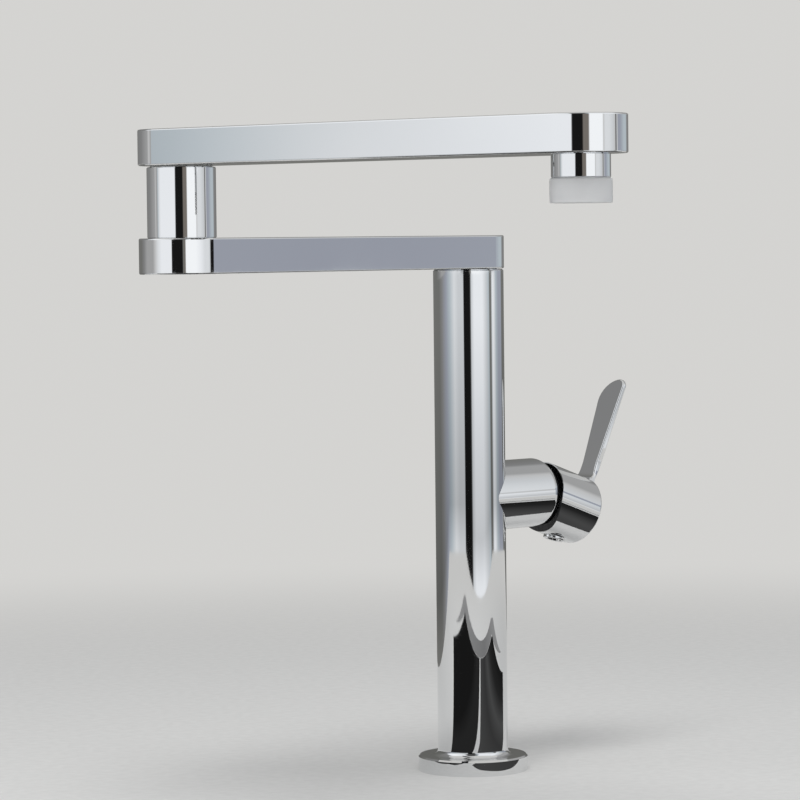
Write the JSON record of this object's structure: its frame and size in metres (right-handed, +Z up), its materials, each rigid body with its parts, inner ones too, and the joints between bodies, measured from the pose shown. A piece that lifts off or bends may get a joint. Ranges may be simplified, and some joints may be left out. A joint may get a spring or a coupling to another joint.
{
  "type": "folding kitchen faucet",
  "caption": "Single-hole kitchen mixer with an upright column, a spout of two swivelling arms that fold over each other, and a side lever.",
  "frame": {"origin": "on the worktop's upper face, under the axis of the column", "axes": "+Z up along the column; +X along the valve housing, towards the lever; the spout is stored folded back, as pictured"},
  "size_m": [0.3263, 0.2926, 0.3635],
  "materials": {
    "chrome": "mirror-bright plating on brass",
    "bare_brass": "turned, unplated",
    "rubber": "matt black",
    "steel": "plain stainless",
    "cartridge_plastic": "moulded acetal",
    "ceramic": "lapped alumina",
    "black_plastic": "satin black",
    "clear_plastic": "milky translucent, satin",
    "aerator_plastic": "moulded grey"
  },
  "bodies": {
    "column_body": {"base_flange": "chrome", "base_gasket": "rubber", "column": "chrome", "mounting_shank": "bare_brass", "rubber_washer": "rubber", "clamp_washer": "steel", "mounting_nut": "bare_brass", "valve_body": "bare_brass", "outlet_pipe": "steel", "valve_housing": "chrome", "cartridge_seal": "rubber", "port_plate": "cartridge_plastic", "fixed_disc": "ceramic", "cartridge_shell": "cartridge_plastic", "cap_nut": "bare_brass", "gap_ring": "black_plastic", "column_head": "bare_brass", "column_washer": "cartridge_plastic", "column_clip": "steel"},
    "carrier_body": {"stem_carrier": "cartridge_plastic", "stem_pin": "steel"},
    "handle_body": {"cartridge_stem": "steel", "lever_handle": "chrome", "set_screw": "steel"},
    "disc_body": {"disc_driver": "cartridge_plastic", "moving_disc": "ceramic"},
    "lower_arm_body": {"lower_arm": "chrome", "lower_spigot": "bare_brass", "lower_seal_rings": "rubber", "riser": "chrome", "riser_washer": "cartridge_plastic", "riser_clip": "steel"},
    "upper_arm_body": {"upper_arm": "chrome", "upper_spigot": "bare_brass", "upper_seal_rings": "rubber", "nozzle_collar": "chrome", "aerator_housing": "clear_plastic", "aerator_insert": "aerator_plastic", "aerator_washer": "rubber"}
  },
  "joints": [
    {"name": "column_swivel", "type": "hinge", "parent": "column_body", "child": "lower_arm_body", "pos_m": [0, 0, 0.2501], "axis": [0, 0, 1], "continuous": true},
    {"name": "riser_swivel", "type": "hinge", "parent": "lower_arm_body", "child": "upper_arm_body", "pos_m": [-0.2007, -0.02287, 0.2992], "axis": [0, 0, 1], "continuous": true},
    {"name": "temperature_turn", "type": "hinge", "parent": "column_body", "child": "carrier_body", "pos_m": [0.0427, 0, 0.1362], "axis": [1, 0, 0], "range_deg": [-50, 50]},
    {"name": "lever_lift", "type": "hinge", "parent": "carrier_body", "child": "handle_body", "pos_m": [0.0427, 0, 0.1362], "axis": [0, 1, 0], "range_deg": [-19, 6]},
    {"name": "disc_slide", "type": "slide", "parent": "carrier_body", "child": "disc_body", "axis": [0, 0, 1], "range_m": [-0.0029, 0.001]}
  ],
  "couplings": [
    {"joint": "disc_slide", "follows": "lever_lift", "m_per_rad": 0.008427}
  ]
}
